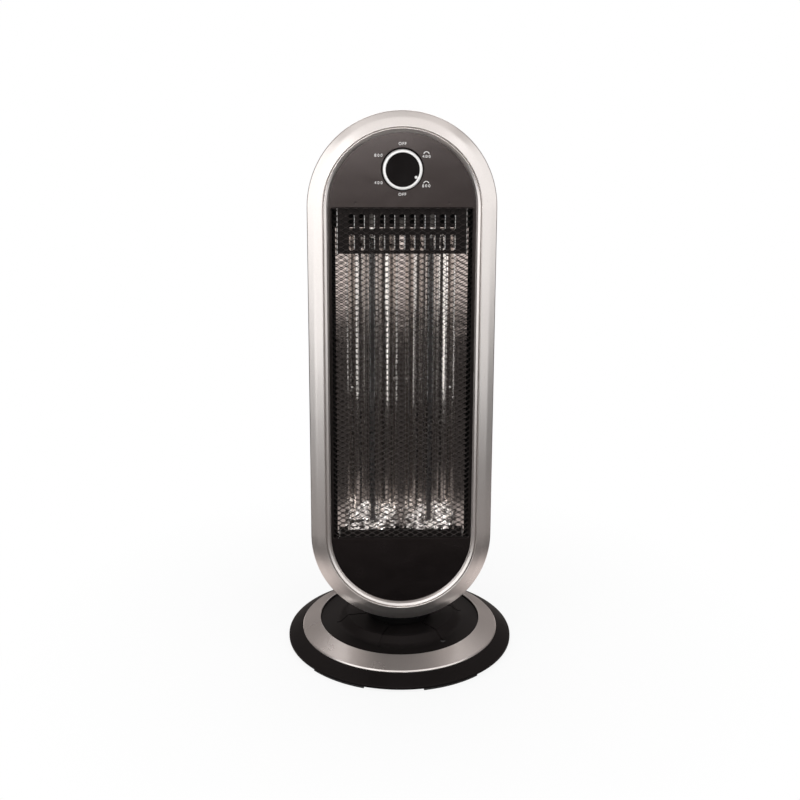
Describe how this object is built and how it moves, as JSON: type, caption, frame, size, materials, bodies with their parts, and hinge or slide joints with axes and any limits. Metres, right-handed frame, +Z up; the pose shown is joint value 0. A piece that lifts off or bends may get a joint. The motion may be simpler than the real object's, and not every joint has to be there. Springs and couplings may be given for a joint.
{
  "type": "carbon fibre heater",
  "caption": "Upright carbon fibre radiant heater: leaning racetrack head with mesh-guarded tubes behind a silver surround, rotary knob, and a round base it swings on.",
  "frame": {"origin": "middle of the round base, on the floor", "axes": "+Z up along the swivel axis, -Y the way the grille faces, +X to the right seen from the front"},
  "size_m": [0.258, 0.258, 0.6021],
  "materials": {
    "satin_silver": "silver metallic paint on ABS, satin",
    "knob_silver": "bright plated ABS",
    "black_panel": "black ABS, semi-gloss",
    "black_case": "black ABS, fine matt grain",
    "black_base": "black ABS, semi-gloss",
    "black_steel": "black heat-resistant paint on steel",
    "bright_sheet": "polished aluminium sheet",
    "plated_steel": "zinc plated steel",
    "quartz": "clear quartz glass",
    "carbon": "woven carbon fibre",
    "ceramic": "opaque steatite ceramic",
    "nylon": "natural nylon",
    "wire": "heat-resistant braided sleeve",
    "rubber": "soft black rubber"
  },
  "bodies": {
    "base": {"base_cover": "black_base", "base_trim_ring": "satin_silver", "base_plate": "black_steel", "base_screws": "plated_steel", "base_feet": "rubber", "base_ballast": "plated_steel", "tip_switch": "nylon", "pivot_post": "plated_steel", "thrust_washer": "nylon", "post_retainer": "plated_steel", "drive_arm": "plated_steel"},
    "head": {"front_frame": "satin_silver", "front_panel": "black_panel", "mesh_guard": "black_steel", "heat_shield": "black_steel", "lower_shield": "black_steel", "shield_screws": "plated_steel", "reflector": "bright_sheet", "upper_end_plate": "bright_sheet", "lower_end_plate": "bright_sheet", "tube_caps": "ceramic", "cap_clips": "plated_steel", "quartz_tube_left": "quartz", "quartz_tube_right": "quartz", "carbon_ribbon_left": "carbon", "carbon_ribbon_right": "carbon", "filament_leads": "plated_steel", "thermal_cutout": "ceramic", "rotary_switch": "nylon", "rear_case": "black_case", "case_screws": "plated_steel", "cord_gland": "rubber", "neck_collar": "black_case", "pivot_sleeve": "bright_sheet", "lower_bush": "nylon", "upper_bush": "nylon", "motor_chassis": "plated_steel", "swing_motor": "plated_steel", "terminal_block": "nylon", "wire_loom": "wire"},
    "knob": {"knob_dial": "black_panel", "knob_ring": "knob_silver", "knob_pointer": "knob_silver", "switch_shaft": "plated_steel"},
    "crank": {"motor_crank": "plated_steel", "motor_shaft": "plated_steel"},
    "plunger": {"tip_plunger": "nylon"}
  },
  "joints": [
    {"name": "swivel", "type": "hinge", "parent": "base", "child": "head", "pos_m": [0, 0, 0.05], "axis": [0, 0, 1], "range_deg": [-30, 30]},
    {"name": "knob_turn", "type": "hinge", "parent": "head", "child": "knob", "pos_m": [0, -0.00625, 0.54309], "axis": [0, -0.9962, 0.0872], "continuous": true},
    {"name": "crank_spin", "type": "hinge", "parent": "head", "child": "crank", "pos_m": [0.036, 0, 0.094], "axis": [0, 0, 1], "range_deg": [-120, 120]},
    {"name": "tip_drop", "type": "slide", "parent": "base", "child": "plunger", "axis": [0, 0, -1], "range_m": [0, 0.004], "stiffness_N_per_m": 100, "springref_m": 0.006}
  ],
  "couplings": [
    {"joint": "crank_spin", "follows": "swivel", "ratio": -4}
  ]
}
